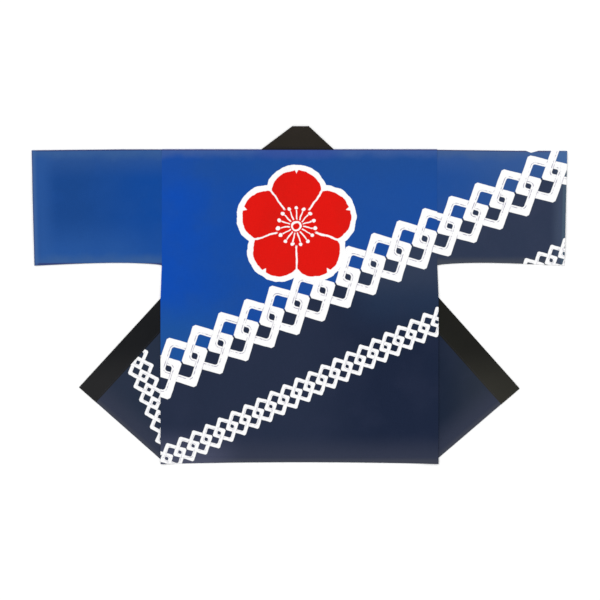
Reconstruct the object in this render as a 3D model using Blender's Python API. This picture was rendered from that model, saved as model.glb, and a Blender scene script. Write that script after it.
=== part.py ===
"""Happi coat laid flat with its back up and both front edges turned outwards, one closed wall per cut piece.

Lengths are millimetres until a mesh is made, then metres. Before it is centred, the coat has its neck at
the origin, its shoulder line along X and its hem towards -Y. "Out" is the distance from the centre line
towards either side. A piece is drawn flat, as it is cut, and every point of its cut is then placed: on a
level layer, or on the half roll where the cloth turns over.
"""

import math
from typing import NamedTuple

import bmesh
import bpy
from mathutils import Vector
from mathutils.geometry import delaunay_2d_cdt

# Cloth
CLOTH = 1.0  # one layer of cotton
BAND = 1.6  # the collar, a strip folded to several layers
GAP = 0.3  # between pieces at a seam, and between layers that lie on each other
TURN = 3.0  # cloth drawn across a turned edge in a flat cut
TURN_STEPS = 4  # flats round the half roll of a turned edge

# Body: one length of cloth, hem to hem over the shoulders
SHOULDER_OUT = 330.0
UNDERARM = (330.0, -276.5)
HIP = (333.0, -357.0)
HEM_MIDDLE = -750.4
HEM_DROP = 4.2  # the hem hangs lower at its corners
FRONT_SHORTER = 1.5  # the fronts end just short of the back's hem

# Collar
BAND_WIDTH = 56.0
NECK_TOP = 54.9  # how far the collar stands above the shoulder line
NECK_CLEAR = 1.6  # the collar's turned corner keeps clear of the shoulder's

# Levels, from the floor to the middle of the wall
FLOOR_CLOTH = CLOTH / 2
FLOOR_BAND = BAND / 2
LAYER = CLOTH + GAP  # a layer over a layer of cloth
BAND_LAYER = BAND + GAP  # a layer over the collar
BAND_EXTRA = BAND - CLOTH
SEAM_LIFT = (BAND - CLOTH) / 2  # cloth lifts so that it meets the collar at mid thickness
SEAM_SLOPE = 20.0  # and falls back over this distance

# Sleeves
SLEEVE_STATIONS = 10  # steps from armhole to cuff
CUFF_LOW = -277.6
BOTTOM_ARCH = 6.2  # the lower edge rises between the underarm and the cuff
ARCH_SKEW = 0.7  # below 1, the arch is highest nearer the body

SHOULDER_TURN = -(LAYER / 2 + CLOTH / 2)  # the turn's own line, so that its outside is the shoulder line


class Side(NamedTuple):
    """One side of the coat. Points are (out, y)."""

    name: str
    sign: int
    neck: float  # collar seam at the shoulder
    nape_top: float  # where the collar's turned corner ends, at its upper edge
    neckline_bow: tuple  # pulls the collar seam into a curve below the shoulder
    turn_top: tuple  # top of the line on which the front is turned outwards
    turn_hem_out: float  # where that line meets the hem
    tip: tuple  # corner of the turned front, where its collar edge meets its hem
    sleeve_top: tuple  # height of the sleeve's upper edge at the body and at the cuff
    cuff: tuple  # out at the cuff's top and bottom


SIDES = (
    Side(
        name="left",
        sign=-1,
        neck=91.8,
        nape_top=15.6,
        neckline_bow=(111.0, -42.0),
        turn_top=(52.0, -51.3),
        turn_hem_out=322.6,
        tip=(528.5, -570.9),
        sleeve_top=(0.0, -2.6),
        cuff=(642.6, 635.9),
    ),
    Side(
        name="right",
        sign=1,
        neck=82.5,
        nape_top=20.7,
        neckline_bow=(99.0, -20.0),
        turn_top=(44.0, -30.9),
        turn_hem_out=318.3,
        tip=(527.6, -573.7),
        sleeve_top=(-1.0, -4.8),
        cuff=(642.0, 635.0),
    ),
)

# Rise of a layer that crosses the turned collar below it, by the distance past the collar's free edge
OVER_BAND = ((-12.0, 0.0), (0.0, BAND_LAYER), (BAND_WIDTH, BAND_LAYER), (BAND_WIDTH + 30, LAYER))
# The same for the back, which bridges the steps of the layers below it
BACK_OVER_BAND = ((-48.0, 0.0), (-30.0, 0.45), (-12.0, 1.1), *OVER_BAND[1:])
# Share of its height that the back keeps past the turned edge, by the distance towards the centre
BACK_FALL = ((3.0, 1.0), (14.0, 0.72), (28.0, 0.27), (45.0, 0.0))
NECK_RISE_END = -14.0  # the back has its full rise over the turned collar from here down
NECK_SLOPE = 60.0  # the back falls from the nape to the floor over this distance
NECKLINE_SLOPE = 30.0  # the back falls from the collar below it to the front over this distance

MARGIN = 2.0  # crease lines run this far past a cut's outline
NECKLINE_STEPS = 6
HEM_STEPS = 8
CREASE_LEAD = 40.0  # creases beside the collar's free edge start this far above the turned corner
MERGE = 0.01
SMOOTH_BELOW = math.radians(50)  # an edge whose faces turn by less is shaded round


def table(rows, at):
    """Height at a distance, straight between the rows of a table and level past its ends."""
    if at <= rows[0][0]:
        return rows[0][1]
    for (start, low), (end, high) in zip(rows, rows[1:]):
        if at <= end:
            return low + (high - low) * (at - start) / (end - start)
    return rows[-1][1]


def hem(out):
    return HEM_MIDDLE - HEM_DROP * (out / HIP[0]) ** 2


class Line:
    """A line in the plane, with distances along it and past it."""

    def __init__(self, start, end, inside):
        self.start = Vector(start)
        self.end = Vector(end)
        self.along = (self.end - self.start).normalized()
        across = Vector((self.along.y, -self.along.x))
        self.across = across if across.dot(Vector(inside) - self.start) < 0 else -across

    def measure(self, point):
        """(distance along the line, distance past it, away from the inside)."""
        offset = Vector(point) - self.start
        return offset.dot(self.along), offset.dot(self.across)

    def point(self, along, past=0.0):
        return self.start + self.along * along + self.across * past

    def where(self, other, past):
        """The distance along this line at which it lies this far past another line."""
        here = other.measure(self.start)[1]
        return (past - here) / self.along.dot(other.across)


class Turn:
    """A turned edge. In the cut, the cloth goes straight on past its line; placed, it comes back below."""

    def __init__(self, line, near_height, far_height):
        self.line = line
        self.near_height = near_height
        self.far_height = far_height

    def side_of(self, point):
        """0 before the turn, 1 on it and 2 after it."""
        past = self.line.measure(point)[1]
        return 0 if past <= 0 else 1 if past < TURN else 2

    def after(self, point):
        """Where a point of the cut lies once it has come back."""
        along, past = self.line.measure(point)
        return self.line.point(along, TURN - past)

    def before(self, point):
        """The point of the cut that comes to lie here."""
        return self.after(point)

    def rolled(self, point):
        """(place in the plane, height, outward share, upward share) on the half roll."""
        along, past = self.line.measure(point)
        foot = self.line.point(along)
        near, far = self.near_height(foot), self.far_height(foot)
        angle = math.pi * past / TURN
        radius = (near - far) / 2
        out = self.line.across * abs(radius) * math.sin(angle)
        height = (near + far) / 2 + radius * math.cos(angle)
        return foot + out, height, self.line.across * math.sin(angle), math.cos(angle)

    def creases(self, start, end, breaks=()):
        """The flats' edges along the turn, between two distances, and lines across it."""
        rows = [TURN * step / TURN_STEPS for step in range(TURN_STEPS + 1)]
        lines = [(self.line.point(start, row), self.line.point(end, row)) for row in rows]
        return lines + [(self.line.point(at), self.line.point(at, TURN)) for at in breaks]


class Layout:
    """How one side's front and collar lie: their lines, and the height of each layer."""

    def __init__(self, side):
        self.side = side
        self.turn_hem = (side.turn_hem_out, hem(side.turn_hem_out) + FRONT_SHORTER)
        outside = (SHOULDER_OUT, 0.0)
        self.turn_line = Line(side.turn_top, self.turn_hem, outside)
        self.flap_hem = Line(side.tip, self.turn_hem, side.turn_top)
        self.free_edge = Line(side.turn_top, side.tip, outside)
        self.seam = [self.neckline(step) for step in range(NECKLINE_STEPS + 1)]

    def along_turn(self, past_free_edge):
        """The distance down the turn's line at which it lies this far past the collar's free edge."""
        return self.turn_line.where(self.free_edge, past_free_edge)

    def neckline(self, step, clear=0.0):
        """A point of the collar seam under the back, which runs from the shoulder to the turn's line."""
        t = step / NECKLINE_STEPS
        start = Vector((self.side.neck, SHOULDER_TURN))
        bow = Vector(self.side.neckline_bow)
        end = self.turn_line.point(self.along_turn(BAND_WIDTH))
        curve = start * (1 - t) ** 2 + bow * 2 * t * (1 - t) + end * t**2
        return curve - Vector((clear, 0.0))

    def past_seam(self, point):
        """How far out of the collar seam a point lies, on its own level."""
        for high, low in zip(self.seam, self.seam[1:]):
            if point[1] >= low.y or low is self.seam[-1]:
                share = (high.y - point[1]) / (high.y - low.y)
                return point[0] - (high.x + (low.x - high.x) * min(max(share, 0.0), 1.0))

    def past_free_edge(self, point):
        return self.free_edge.measure(point)[1]

    def front_height(self, point):
        lift = table(((0.0, SEAM_LIFT), (SEAM_SLOPE, 0.0)), self.past_seam(point))
        return FLOOR_CLOTH + table(OVER_BAND, self.past_free_edge(point)) + lift

    def flap_height(self, point):
        past = self.past_free_edge(point) - BAND_WIDTH
        return FLOOR_CLOTH + table(((0.0, SEAM_LIFT), (SEAM_SLOPE, 0.0)), past)

    def run_height(self, point):
        return FLOOR_BAND + table(OVER_BAND, self.past_free_edge(point))

    def back_rise(self, point):
        """Rise of the back over this side's layers, above cloth that lies on the floor."""
        past_neck = self.past_seam(point)
        share = table(((0.0, 1.0), (NECKLINE_SLOPE, 0.0)), past_neck)
        grown = table(((NECK_RISE_END, 1.0), (SHOULDER_TURN, 0.0)), point[1])
        over = table(BACK_OVER_BAND, self.past_free_edge(point)) * grown
        lift = table(((-SEAM_SLOPE, 0.0), (SHOULDER_TURN, SEAM_LIFT)), point[1])
        rise = LAYER + over + (BAND_EXTRA + lift) * share
        kept = table(BACK_FALL, self.turn_line.measure(point)[1])
        nape = (BAND_LAYER + SEAM_LIFT) * table(((-NECK_SLOPE, 0.0), (SHOULDER_TURN, 1.0)), point[1])
        return max(rise * kept, nape * share)


LAYOUTS = tuple(Layout(side) for side in SIDES)


def mirrored(layout, point):
    """Between a side's own (out, y) and the coat's (x, y)."""
    return Vector((point[0] * layout.side.sign, point[1]))


def back_height(point):
    return FLOOR_CLOTH + max(layout.back_rise(mirrored(layout, point)) for layout in LAYOUTS)


def contains(outline, point):
    inside = False
    for a, b in zip(outline, outline[1:] + outline[:1]):
        if (a[1] > point[1]) != (b[1] > point[1]):
            crossing = a[0] + (b[0] - a[0]) * (point[1] - a[1]) / (b[1] - a[1])
            inside ^= point[0] < crossing
    return inside


def cut_out(outline, creases):
    """The flat piece as triangles, with an edge along every crease."""
    points, edges = [], []
    for path in [list(outline) + [outline[0]], *creases]:
        first = len(points)
        points += [Vector(point) for point in path]
        edges += [(first + i, first + i + 1) for i in range(len(path) - 1)]
    verts, _, faces, *_ = delaunay_2d_cdt(points, edges, [], 0, MERGE)
    inside = [f for f in faces if contains(outline, sum((verts[i] for i in f), Vector((0, 0))) / 3)]
    used = sorted({i for face in inside for i in face})
    number = {old: new for new, old in enumerate(used)}
    return [verts[i] for i in used], [[number[i] for i in face] for face in inside]


def add_object(name, verts, faces, colour, roughness):
    mesh = bpy.data.meshes.new(name)
    bm = bmesh.new()
    made = [bm.verts.new(Vector(vert) / 1000) for vert in verts]
    for face in faces:
        bm.faces.new([made[i] for i in face])
    bm.to_mesh(mesh)
    bm.free()
    mesh.shade_smooth()
    mesh.set_sharp_from_angle(angle=SMOOTH_BELOW)
    material = bpy.data.materials.new(name)
    material.use_nodes = True
    shader = material.node_tree.nodes["Principled BSDF"]
    shader.inputs["Base Color"].default_value = (*colour, 1.0)
    shader.inputs["Roughness"].default_value = roughness
    mesh.materials.append(material)
    bpy.context.scene.collection.objects.link(bpy.data.objects.new(name, mesh))


def add_cloth(name, outline, creases, place, thickness, colour, roughness):
    """A cut piece, placed as the middle of its wall and given half its thickness to each side."""
    flat, triangles = cut_out(outline, creases)
    placed = [place(point) for point in flat]
    count = len(placed)
    half = thickness / 2
    verts = [middle + up * half for middle, up in placed] + [middle - up * half for middle, up in placed]
    faces = [list(face) for face in triangles]
    faces += [[count + i for i in reversed(face)] for face in triangles]
    directed = {(f[i], f[(i + 1) % 3]) for f in triangles for i in range(3)}
    for a, b in sorted(directed):
        if (b, a) not in directed:
            faces.append([b, a, count + a, count + b])
    add_object(name, verts, faces, colour, roughness)


def level(point, height, right_side_up):
    return Vector((point[0], point[1], height)), Vector((0, 0, right_side_up))


def on_roll(turn, point, sign, right_side_up):
    """A point on a turn's half roll. The turn's far layer always lies below its near one."""
    place, height, out, up = turn.rolled(point)
    normal = Vector((out.x * sign, out.y, up)) * right_side_up
    return Vector((place.x * sign, place.y, height)), normal


# ---- body: the back, the turned shoulders, the fronts and their turned edges

SHOULDER_LINE = Line((0, SHOULDER_TURN), (1, SHOULDER_TURN), (0, HEM_MIDDLE))


def shoulder_turn(layout):
    return Turn(
        SHOULDER_LINE,
        lambda foot: back_height(mirrored(layout, foot)),
        layout.front_height,
    )


def front_turn(layout):
    return Turn(layout.turn_line, layout.front_height, layout.flap_height)


def place_on_body(point):
    layout = LAYOUTS[0] if point[0] < 0 else LAYOUTS[1]
    sign = layout.side.sign
    own = mirrored(layout, point)
    shoulder, front = shoulder_turn(layout), front_turn(layout)
    part = shoulder.side_of(own)
    if part == 0:
        return level(point, back_height(point), 1)
    if part == 1:
        return on_roll(shoulder, own, sign, 1)
    own = shoulder.after(own)
    part = front.side_of(own)
    if part == 0:
        return level(mirrored(layout, own), layout.front_height(own), -1)
    if part == 1:
        return on_roll(front, own, sign, -1)
    own = front.after(own)
    return level(mirrored(layout, own), layout.flap_height(own), 1)


def body_side(layout):
    """One side of the body's cut, from the back's hem corner round to the neck."""
    side = layout.side
    shoulder, front = shoulder_turn(layout), front_turn(layout)
    flap_seam = layout.along_turn(BAND_WIDTH + GAP / 2)
    seam_at_hem = layout.flap_hem.where(layout.free_edge, BAND_WIDTH + GAP / 2)
    edge = [(HIP[0], hem(HIP[0])), HIP, UNDERARM, (SHOULDER_OUT, SHOULDER_TURN)]
    upper = [*reversed(edge[1:]), (HIP[0], hem(HIP[0]) + FRONT_SHORTER), layout.turn_hem]
    flap = [layout.turn_hem, layout.flap_hem.point(seam_at_hem), layout.turn_line.point(flap_seam)]
    neckline = [layout.neckline(step, -GAP / 2) for step in range(NECKLINE_STEPS - 1, 0, -1)]
    neckline = [layout.turn_line.point(flap_seam), *neckline, (side.neck, SHOULDER_TURN)]
    unfolded = upper + [front.before(p) for p in flap] + neckline
    return edge + [shoulder.before(p) for p in unfolded] + [(side.neck, SHOULDER_TURN)]


def body_creases(layout):
    side = layout.side
    shoulder, front = shoulder_turn(layout), front_turn(layout)
    turn, free = layout.turn_line, layout.free_edge
    far = HIP[0] + MARGIN
    flap_seam = layout.along_turn(BAND_WIDTH + GAP / 2)
    hem_at = (turn.end - turn.start).length

    def across(past, start):
        """A line beside the collar's free edge, from a distance along it to the coat's side."""
        begin = free.point(start, past)
        return [begin, begin + free.along * (far - begin.x) / free.along.x]

    def from_turn(past):
        begin = turn.point(layout.along_turn(past))
        return [begin, begin + free.along * (far - begin.x) / free.along.x]

    def below_shoulder(path):
        """The part of a straight crease that lies below the shoulder's turn."""
        a, b = path
        if a.y > SHOULDER_TURN:
            a = a + (b - a) * (SHOULDER_TURN - a.y) / (b.y - a.y)
        return [a, b]

    past_rows = [row[0] for row in OVER_BAND]
    on_front = [across(past, 0.0) for past in past_rows[:2]]
    on_front += [from_turn(past) for past in past_rows[2:]]
    on_front.append([point + Vector((SEAM_SLOPE, 0)) for point in layout.seam])
    on_front += front.creases(flap_seam, hem_at, [layout.along_turn(past_rows[3])])
    flap_line = BAND_WIDTH + SEAM_SLOPE
    hem_end = layout.flap_hem.where(free, flap_line)
    flap_crease = [turn.point(layout.along_turn(flap_line)), layout.flap_hem.point(hem_end)]
    on_front.append([front.before(point) for point in flap_crease])

    on_back = [below_shoulder(across(past, -CREASE_LEAD)) for past, _ in BACK_OVER_BAND[:4]]
    on_back += [from_turn(past) for past in past_rows[2:]]
    on_back.append([turn.point(turn.where(SHOULDER_LINE, 0)), turn.point(hem_at)])
    for past, _ in BACK_FALL:
        near = turn.point(turn.where(SHOULDER_LINE, 0), past)
        on_back.append([near, turn.point(hem_at + MARGIN, past)])
    for past in (0.0, *past_rows[2:]):
        at = layout.along_turn(past)
        on_back.append([turn.point(at), turn.point(at, BACK_FALL[-1][0])])
    on_back.append([point + Vector((NECKLINE_SLOPE, 0)) for point in layout.seam])
    on_back.append(list(layout.seam))
    for y in (NECK_RISE_END, -SEAM_SLOPE, -NECK_SLOPE):
        on_back.append([Vector((0, y)), Vector((side.neck + NECKLINE_SLOPE, y))])

    slope_ends = [side.neck + NECKLINE_SLOPE, side.neck + SEAM_SLOPE]
    over_shoulder = shoulder.creases(side.neck, SHOULDER_OUT, slope_ends)
    creases = [[shoulder.before(point) for point in path] for path in on_front] + on_back + over_shoulder
    return [[mirrored(layout, point) for point in path] for path in creases]


def add_body():
    left, right = LAYOUTS
    hem_steps = [HIP[0] * (2 * step / HEM_STEPS - 1) for step in range(1, HEM_STEPS)]
    outline = [mirrored(right, point) for point in body_side(right)]
    outline += [mirrored(left, point) for point in reversed(body_side(left))]
    outline += [Vector((out, hem(out))) for out in hem_steps]
    creases = [path for layout in LAYOUTS for path in body_creases(layout)]
    add_cloth("body", outline, creases, place_on_body, CLOTH, (0.014, 0.072, 0.33), 0.8)


# ---- collar: the nape, the runs under the back and the turned strips


def nape_turn(layout):
    side = layout.side
    base = (side.neck - NECK_CLEAR, SHOULDER_TURN + GAP)
    line = Line(base, (side.nape_top, NECK_TOP), (0, 0))
    return Turn(line, lambda foot: FLOOR_BAND + BAND_LAYER, layout.run_height)


def strip_turn(layout):
    return Turn(layout.turn_line, layout.run_height, lambda foot: FLOOR_BAND)


def place_on_collar(point):
    layout = LAYOUTS[0] if point[0] < 0 else LAYOUTS[1]
    sign = layout.side.sign
    own = mirrored(layout, point)
    nape, strip = nape_turn(layout), strip_turn(layout)
    part = nape.side_of(own)
    if part == 0:
        return level(point, FLOOR_BAND + BAND_LAYER, 1)
    if part == 1:
        return on_roll(nape, own, sign, 1)
    own = nape.after(own)
    part = strip.side_of(own)
    if part == 0:
        return level(mirrored(layout, own), layout.run_height(own), -1)
    if part == 1:
        return on_roll(strip, own, sign, -1)
    own = strip.after(own)
    return level(mirrored(layout, own), FLOOR_BAND, 1)


def collar_side(layout):
    """One side of the collar's cut, from the nape's seam out to the tip and back to the nape's top."""
    nape, strip = nape_turn(layout), strip_turn(layout)
    seam_past = BAND_WIDTH - GAP / 2
    seam_turn = layout.turn_line.point(layout.along_turn(seam_past))
    seam_at_hem = layout.flap_hem.where(layout.free_edge, seam_past)
    neckline = [layout.neckline(step, GAP / 2) for step in range(1, NECKLINE_STEPS)]
    seam = [nape.line.start, *neckline, seam_turn]
    turned = [seam_turn, layout.flap_hem.point(seam_at_hem), layout.side.tip, layout.side.turn_top]
    free = [layout.side.turn_top, nape.line.end]
    under = seam + [strip.before(point) for point in turned] + free
    return [nape.line.start] + [nape.before(point) for point in under] + [nape.line.end]


def collar_creases(layout):
    nape, strip = nape_turn(layout), strip_turn(layout)
    free, turn = layout.free_edge, layout.turn_line
    reach = BAND_WIDTH * 2  # past the strip's turned edge
    ramp_start = OVER_BAND[0][0]
    on_run = [[free.start, free.point(reach)]]
    on_run.append([free.point(-CREASE_LEAD, ramp_start), free.point(reach, ramp_start)])
    on_run += strip.creases(0, layout.along_turn(BAND_WIDTH - GAP / 2))
    creases = [[nape.before(point) for point in path] for path in on_run]
    creases += nape.creases(0, (nape.line.end - nape.line.start).length)
    return [[mirrored(layout, point) for point in path] for path in creases]


def add_collar():
    left, right = LAYOUTS
    outline = [mirrored(right, point) for point in collar_side(right)]
    outline += [mirrored(left, point) for point in reversed(collar_side(left))]
    creases = [path for layout in LAYOUTS for path in collar_creases(layout)]
    add_cloth("collar", outline, creases, place_on_collar, BAND, (0.018, 0.018, 0.018), 0.85)


# ---- sleeves: flattened tubes, open at the armhole and the cuff


def tube_ring(top, bottom, inset):
    """(y, z) round a flattened tube whose folded edges reach top and bottom, inset from its outside."""
    radius = LAYER / 2 + CLOTH / 2
    size = radius - inset
    ring = []
    for centre_y, start in ((top - radius, -90), (bottom + radius, 90)):
        for step in range(TURN_STEPS + 1):
            angle = math.radians(start + 180 * step / TURN_STEPS)
            ring.append((centre_y + size * math.cos(angle), radius + size * math.sin(angle)))
    return ring


def add_sleeve(side):
    rings = []
    for inset in (0.0, CLOTH):
        for station in range(SLEEVE_STATIONS + 1):
            share = station / SLEEVE_STATIONS
            top = side.sleeve_top[0] + (side.sleeve_top[1] - side.sleeve_top[0]) * share
            arch = BOTTOM_ARCH * math.sin(math.pi * share**ARCH_SKEW)
            bottom = UNDERARM[1] + (CUFF_LOW - UNDERARM[1]) * share + arch
            ring = []
            for y, z in tube_ring(top, bottom, inset):
                down = min(max(-y / -UNDERARM[1], 0.0), 1.0)
                armhole = SHOULDER_OUT + (UNDERARM[0] - SHOULDER_OUT) * down + GAP
                cuff = side.cuff[0] + (side.cuff[1] - side.cuff[0]) * down
                ring.append(((armhole + (cuff - armhole) * share) * side.sign, y, z))
            rings.append(ring)
    size = len(rings[0])
    verts = [point for ring in rings for point in ring]
    outer = list(range(SLEEVE_STATIONS + 1))
    inner = [SLEEVE_STATIONS + 1 + station for station in outer]
    # The wall's section is a loop of rings: out along the outside, back along the inside.
    loop = outer + inner[::-1]
    faces = []
    for first, second in zip(loop, loop[1:] + loop[:1]):
        for i in range(size):
            j = (i + 1) % size
            corners = [first * size + i, second * size + i, second * size + j, first * size + j]
            faces.append(corners if side.sign < 0 else corners[::-1])
    add_object(f"sleeve_{side.name}", verts, faces, (0.018, 0.068, 0.28), 0.8)


def centre_on_footprint(objects):
    """Brings the origin to the middle of the coat's footprint, on the floor."""
    points = [vert.co for obj in objects for vert in obj.data.vertices]
    for axis in (0, 1):
        places = [point[axis] for point in points]
        for obj in objects:
            obj.location[axis] = -(min(places) + max(places)) / 2


for old in list(bpy.data.objects):
    bpy.data.objects.remove(old)
add_body()
add_collar()
for side in SIDES:
    add_sleeve(side)
centre_on_footprint(list(bpy.data.objects))
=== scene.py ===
"""The happi coat laid flat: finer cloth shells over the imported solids, with print, sewing and the studio.

Lengths are millimetres in the coat's own plane (neck at the origin, shoulder line along X, hem towards -Y)
until a mesh is made, then metres in the part's frame.
"""

from functools import partialmethod
from math import ceil, cos, exp, pi, radians, sin, sqrt
from typing import NamedTuple

import bpy
import numpy as np
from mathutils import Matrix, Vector, noise
from mathutils.geometry import delaunay_2d_cdt


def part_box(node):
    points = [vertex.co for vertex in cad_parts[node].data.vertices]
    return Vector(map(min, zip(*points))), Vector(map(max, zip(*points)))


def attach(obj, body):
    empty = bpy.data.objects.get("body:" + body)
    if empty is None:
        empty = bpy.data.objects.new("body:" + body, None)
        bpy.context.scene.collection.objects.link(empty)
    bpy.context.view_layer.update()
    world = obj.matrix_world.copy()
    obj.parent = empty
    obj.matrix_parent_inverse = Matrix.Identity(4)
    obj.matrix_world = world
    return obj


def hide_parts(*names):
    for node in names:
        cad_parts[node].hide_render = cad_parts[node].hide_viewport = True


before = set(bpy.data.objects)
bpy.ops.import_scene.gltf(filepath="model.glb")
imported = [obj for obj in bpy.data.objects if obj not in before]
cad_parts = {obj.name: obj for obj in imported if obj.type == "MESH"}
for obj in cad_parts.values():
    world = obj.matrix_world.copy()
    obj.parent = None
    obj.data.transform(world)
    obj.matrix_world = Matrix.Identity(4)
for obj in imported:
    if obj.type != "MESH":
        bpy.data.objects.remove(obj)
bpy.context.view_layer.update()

# ---- the coat's sizes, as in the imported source

CLOTH = 1  # wall of the solids' cloth
BAND = 1.6  # and of their collar
GAP = 0.3  # between two layers, and along a seam
TURN = 3  # how much of a cut goes round a turned edge
SHOULDER_OUT = 330
UNDERARM = (330, -276.5)
HIP = (333, -357)
HEM_MIDDLE = -750.4
HEM_DROP = 4.2  # the back's hem is this much lower at its corners
FRONT_SHORTER = 1.5
BAND_WIDTH = 56
NECK_TOP = 54.9  # how far the nape stands above the shoulder line
NECK_CLEAR = 1.6
NECKLINE_STEPS = 6
LAYER = CLOTH + GAP
BAND_LAYER = BAND + GAP
FLOOR_CLOTH = CLOTH / 2
FLOOR_BAND = BAND / 2
SEAM_LIFT = (BAND - CLOTH) / 2  # sewn together, the cloth's middle is level with the band's
SEAM_SLOPE = 20
SHOULDER_TURN = -(LAYER / 2 + CLOTH / 2)
ARMHOLE = SHOULDER_OUT + GAP
CUFF_LOW = -277.6
BOTTOM_ARCH = 6.2  # a sleeve's lower edge rises by this between its ends
ARCH_SKEW = 0.7
# Rise over a turned strip, by the distance past its free edge
OVER_BAND = ((-12, 0), (0, BAND_LAYER), (BAND_WIDTH, BAND_LAYER), (BAND_WIDTH + 30, LAYER))
BACK_OVER_BAND = ((-48, 0), (-30, 0.45), (-12, 1.1), *OVER_BAND[1:])
BACK_FALL = ((3, 1), (14, 0.72), (28, 0.27), (45, 0))  # of that rise, past the turned front
NECK_RISE_END = -14
NECK_SLOPE = 60
NECKLINE_SLOPE = 30

# ---- what the finer shells add

THINNER = 0.3  # each wall is this much thinner than its solid, which widens every gap
TURN_STEPS = 8
GRID = 6.5  # spacing of a shell's points
GRID_UP = GRID * 0.866  # and of their rows
CLEAR = 1.4  # a grid point keeps this far from crease lines
CREASE_START = -40  # a crease along a free edge starts this far before it
SOFTEN = (-5, -2.5, 0, 2.5, 5)  # a ramp is averaged over these offsets
RIM = (50, 0, -50)  # degrees from the cloth's middle, for the rows of its rounded edge
RIM_WIDE, RIM_TALL = 0.9, 1.1  # that edge's shape, by half the wall
HEM_BAND = 17  # the turned-in hem
HEM_SLOPE = (HEM_BAND - 0.1, HEM_BAND + 1.3)  # its extra thickness ends between these
HEM_RISE = 0.3
FLAP_RISE = 0.7 * HEM_RISE
CUFF_RISE = 0.8 * HEM_RISE
SLEEVE_ROWS = 44
SLEEVE_SAG = 1.5  # the sleeves' lower edges hang this much below their solids'
# The sleeves' upper edges rise this much above a straight line, by the share of the way to the cuff
SLEEVE_TOP_BOW = {"left": ((0, 0), (0.3, 0.9), (1, 0.4)), "right": ((0.6, 0), (1, 1.1))}
BAND_WIDER = {"left": -2, "right": 1.6}  # the strip shows this much wider at its seam with the flap
MOUTH = 1.5  # how far a cuff's upper layer stands open
SUNK, SUNK_REACH = 0.35, 2.6  # how far it dips at the armhole's seam
STITCH_PITCH = 3.6
STITCH_LENGTH = 2.5
THREAD_RADIUS = 0.26
THREAD_SIDES = 5
STITCH_IN = 2.2  # from a band's inner edge to its stitches
# (share of a stitch's length, share of its radius, how far sunk)
STITCH_ROWS = ((0, 0.25, 0.22), (0.16, 0.9, 0.05), (0.5, 1, 0), (0.84, 0.9, 0.05), (1, 0.25, 0.22))


class Side(NamedTuple):
    """One half of the coat. Distances out from the middle are positive on both."""

    name: str
    sign: int
    neck: float  # how far out the neckline and the shoulder meet
    nape_top: float  # and the nape's top ends
    neckline_bow: tuple
    turn_top: tuple  # where the turned front begins
    turn_hem_out: float  # and how far out it ends, at the hem
    tip: tuple  # of the flap
    sleeve_top: tuple  # height of its top at the armhole and at the cuff
    cuff: tuple  # how far out the cuff is, at its top and at its bottom


SIDES = (
    Side("left", -1, 91.8, 15.6, (111, -42), (52, -51.3), 322.6, (528.5, -570.9), (0, -2.6), (642.6, 635.9)),
    Side("right", 1, 82.5, 20.7, (99, -20), (44, -30.9), 318.3, (527.6, -573.7), (-1, -4.8), (642, 635)),
)

# From the coat's own plane to the part's frame: the left sleeve's top inner corner is known in both
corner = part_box("sleeve_left")[1] * 1000
SHIFT = Vector((corner.x + ARMHOLE, corner.y))


def between(ends, share):
    return ends[0] + (ends[1] - ends[0]) * share


def held(value):
    """The value, kept from 0 to 1."""
    return min(max(value, 0), 1)


def table(rows, at):
    """The value at a place, from rows of (place, value)."""
    if at <= rows[0][0]:
        return rows[0][1]
    for (start, low), (end, high) in zip(rows, rows[1:]):
        if at <= end:
            return low + (high - low) * (at - start) / (end - start)
    return rows[-1][1]


def soft(rows, at):
    """A table whose corners are rounded."""
    return sum(table(rows, at + offset) for offset in SOFTEN) / len(SOFTEN)


def seam_lift(past):
    return soft(((0, SEAM_LIFT), (SEAM_SLOPE, 0)), past)


def hem(out):
    return HEM_MIDDLE - HEM_DROP * (out / HIP[0]) ** 2


class Line:
    """A line in the plane, with distances along it and past it."""

    def __init__(self, start, end, inside):
        self.start, self.end = Vector(start), Vector(end)
        self.length = (self.end - self.start).length
        self.along = (self.end - self.start).normalized()
        across = Vector((self.along.y, -self.along.x))
        self.across = across if across.dot(Vector(inside) - self.start) < 0 else -across

    def measure(self, point):
        offset = Vector(point) - self.start
        return offset.dot(self.along), offset.dot(self.across)

    def past(self, point):
        return self.measure(point)[1]

    def point(self, along, past=0):
        return self.start + self.along * float(along) + self.across * past

    def where(self, other, past):
        """How far along it lies this far past the other line."""
        return (past - other.past(self.start)) / self.along.dot(other.across)


class Turn:
    """A turned edge. In the cut, the cloth goes straight on past its line; placed, it comes back below."""

    def __init__(self, line, near_height, far_height):
        self.line, self.near_height, self.far_height = line, near_height, far_height

    def side_of(self, point):
        """0 before the turn, 1 on its half roll and 2 after it."""
        past = self.line.past(point)
        return 0 if past <= 0 else 1 if past < TURN else 2

    def after(self, point):
        """From the cut to its place, or back."""
        along, past = self.line.measure(point)
        return self.line.point(along, TURN - past)

    def rolled(self, point):
        """A point on the half roll: its place, its height, and where its right side faces, out and up."""
        along, past = self.line.measure(point)
        foot = self.line.point(along)
        near, far = self.near_height(foot), self.far_height(foot)
        angle = pi * past / TURN
        radius = (near - far) / 2
        out = self.line.across * abs(radius) * sin(angle)
        height = (near + far) / 2 + radius * cos(angle)
        return foot + out, height, self.line.across * sin(angle), cos(angle)

    def creases(self, start, end):
        rows = [TURN * step / TURN_STEPS for step in range(TURN_STEPS + 1)]
        return [(self.line.point(start, row), self.line.point(end, row)) for row in rows]


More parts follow.
